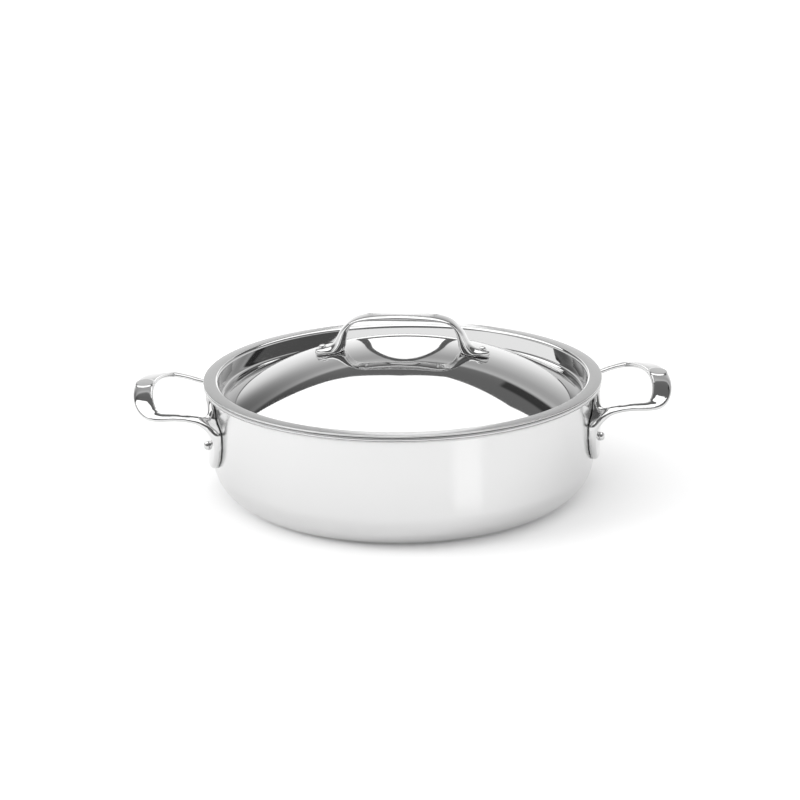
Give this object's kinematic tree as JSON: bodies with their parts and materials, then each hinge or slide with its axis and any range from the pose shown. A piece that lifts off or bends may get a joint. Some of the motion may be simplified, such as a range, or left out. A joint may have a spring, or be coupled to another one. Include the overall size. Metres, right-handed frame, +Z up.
{
  "type": "saute pan",
  "caption": "Round straight-sided saute pan in polished clad steel, with looped side handles and a recessed domed lid that lifts off by its arch handle.",
  "frame": {"origin": "centre of the pan's flat base, on its underside", "axes": "+X through the two side handles, +Y square to them, +Z up along the pan's axis"},
  "size_m": [0.3428, 0.254, 0.1132],
  "materials": {
    "outer_steel": "softly polished, satin in strong light",
    "core_aluminium": "bare edge between the steel skins at the lip",
    "inner_steel": "fine circular brushing",
    "cast_steel": "mirror-polished casting",
    "rivet_steel": "polished",
    "lid_steel": "mirror-polished pressed sheet"
  },
  "bodies": {
    "pan": {"outer_skin": "outer_steel", "aluminium_core": "core_aluminium", "inner_skin": "inner_steel", "right_handle": "cast_steel", "left_handle": "cast_steel", "right_handle_rivet_front": "rivet_steel", "right_handle_rivet_rear": "rivet_steel", "left_handle_rivet_front": "rivet_steel", "left_handle_rivet_rear": "rivet_steel"},
    "lid": {"lid_shell": "lid_steel", "lid_handle": "cast_steel", "lid_rivet_right": "rivet_steel", "lid_rivet_left": "rivet_steel"}
  },
  "joints": [
    {"name": "lid_lift", "type": "slide", "parent": "pan", "child": "lid", "axis": [0, 0, 1], "range_m": [0, 0.12]}
  ]
}
